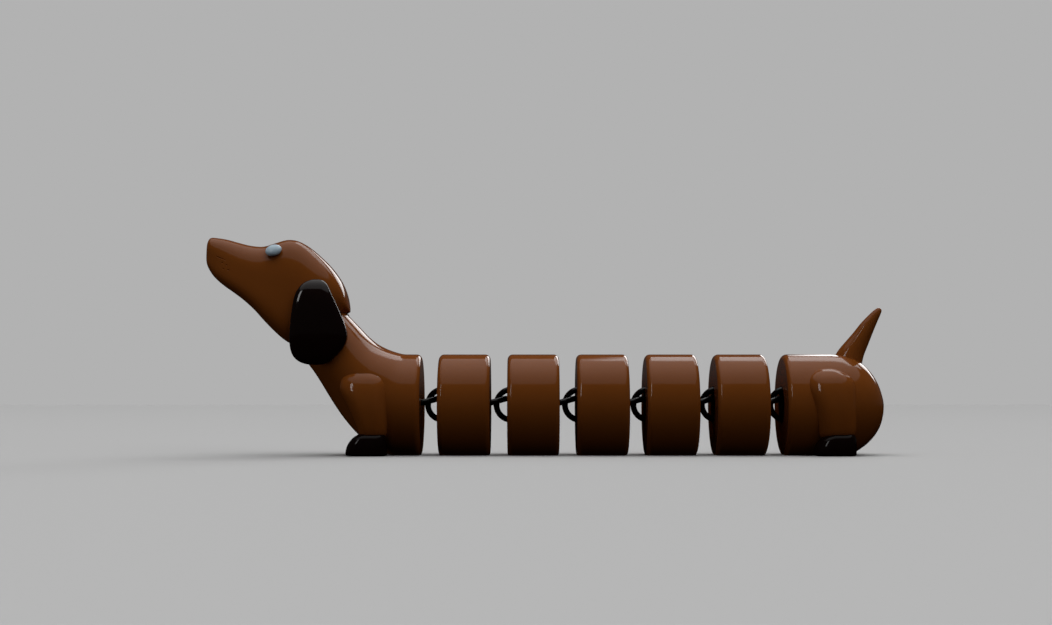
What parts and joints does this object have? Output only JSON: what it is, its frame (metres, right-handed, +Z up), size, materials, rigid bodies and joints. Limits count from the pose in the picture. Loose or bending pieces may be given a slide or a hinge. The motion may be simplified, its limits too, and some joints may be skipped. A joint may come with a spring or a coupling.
{
  "type": "articulated dachshund toy",
  "caption": "Jointed sausage-dog toy: a head section, round middle segments and a rump with a tail, linked nose to tail by rings and hinged wire loops.",
  "frame": {"origin": "bottom centre of the whole toy's box, on the surface it stands on", "axes": "+Z up, -X towards the nose, +X towards the tail, -Y the dog's left side, which faces the camera"},
  "size_m": [0.198, 0.036, 0.0632],
  "materials": {
    "brown_gloss": "polished chestnut-brown plastic",
    "black_trim": "polished black plastic",
    "link_black": "black coated wire",
    "eye_blue": "pale blue-grey glossy plastic"
  },
  "bodies": {
    "front_section": {"head": "brown_gloss", "front_body": "brown_gloss", "ear_left": "black_trim", "ear_right": "black_trim", "eye_left": "eye_blue", "eye_right": "eye_blue", "front_leg_left": "brown_gloss", "front_leg_right": "brown_gloss", "front_paw_left": "black_trim", "front_paw_right": "black_trim"},
    "loop_1": {"rear_loop_1": "link_black"},
    "middle_1": {"segment_1": "brown_gloss", "front_ring_1": "link_black"},
    "loop_2": {"rear_loop_2": "link_black"},
    "middle_2": {"segment_2": "brown_gloss", "front_ring_2": "link_black"},
    "loop_3": {"rear_loop_3": "link_black"},
    "middle_3": {"segment_3": "brown_gloss", "front_ring_3": "link_black"},
    "loop_4": {"rear_loop_4": "link_black"},
    "middle_4": {"segment_4": "brown_gloss", "front_ring_4": "link_black"},
    "loop_5": {"rear_loop_5": "link_black"},
    "middle_5": {"segment_5": "brown_gloss", "front_ring_5": "link_black"},
    "loop_6": {"rear_loop_6": "link_black"},
    "rear_section": {"rear_body": "brown_gloss", "tail": "brown_gloss", "front_ring_6": "link_black", "hind_leg_left": "brown_gloss", "hind_leg_right": "brown_gloss", "hind_paw_left": "black_trim", "hind_paw_right": "black_trim"}
  },
  "joints": [
    {"name": "link_1_lift", "type": "hinge", "parent": "front_section", "child": "loop_1", "pos_m": [-0.038, 0, 0.0146], "axis": [0, -1, 0], "range_deg": [-10, 10]},
    {"name": "link_1_swing", "type": "hinge", "parent": "loop_1", "child": "middle_1", "pos_m": [-0.03425, 0, 0.0146], "axis": [0, 0, 1], "range_deg": [-15, 15]},
    {"name": "link_2_lift", "type": "hinge", "parent": "middle_1", "child": "loop_2", "pos_m": [-0.018, 0, 0.0146], "axis": [0, -1, 0], "range_deg": [-10, 10]},
    {"name": "link_2_swing", "type": "hinge", "parent": "loop_2", "child": "middle_2", "pos_m": [-0.01425, 0, 0.0146], "axis": [0, 0, 1], "range_deg": [-15, 15]},
    {"name": "link_3_lift", "type": "hinge", "parent": "middle_2", "child": "loop_3", "pos_m": [0.002, 0, 0.0146], "axis": [0, -1, 0], "range_deg": [-10, 10]},
    {"name": "link_3_swing", "type": "hinge", "parent": "loop_3", "child": "middle_3", "pos_m": [0.00575, 0, 0.0146], "axis": [0, 0, 1], "range_deg": [-15, 15]},
    {"name": "link_4_lift", "type": "hinge", "parent": "middle_3", "child": "loop_4", "pos_m": [0.022, 0, 0.0146], "axis": [0, -1, 0], "range_deg": [-10, 10]},
    {"name": "link_4_swing", "type": "hinge", "parent": "loop_4", "child": "middle_4", "pos_m": [0.02575, 0, 0.0146], "axis": [0, 0, 1], "range_deg": [-15, 15]},
    {"name": "link_5_lift", "type": "hinge", "parent": "middle_4", "child": "loop_5", "pos_m": [0.042, 0, 0.0146], "axis": [0, -1, 0], "range_deg": [-10, 10]},
    {"name": "link_5_swing", "type": "hinge", "parent": "loop_5", "child": "middle_5", "pos_m": [0.04575, 0, 0.0146], "axis": [0, 0, 1], "range_deg": [-15, 15]},
    {"name": "link_6_lift", "type": "hinge", "parent": "middle_5", "child": "loop_6", "pos_m": [0.062, 0, 0.0146], "axis": [0, -1, 0], "range_deg": [-10, 10]},
    {"name": "link_6_swing", "type": "hinge", "parent": "loop_6", "child": "rear_section", "pos_m": [0.06575, 0, 0.0146], "axis": [0, 0, 1], "range_deg": [-15, 15]}
  ]
}
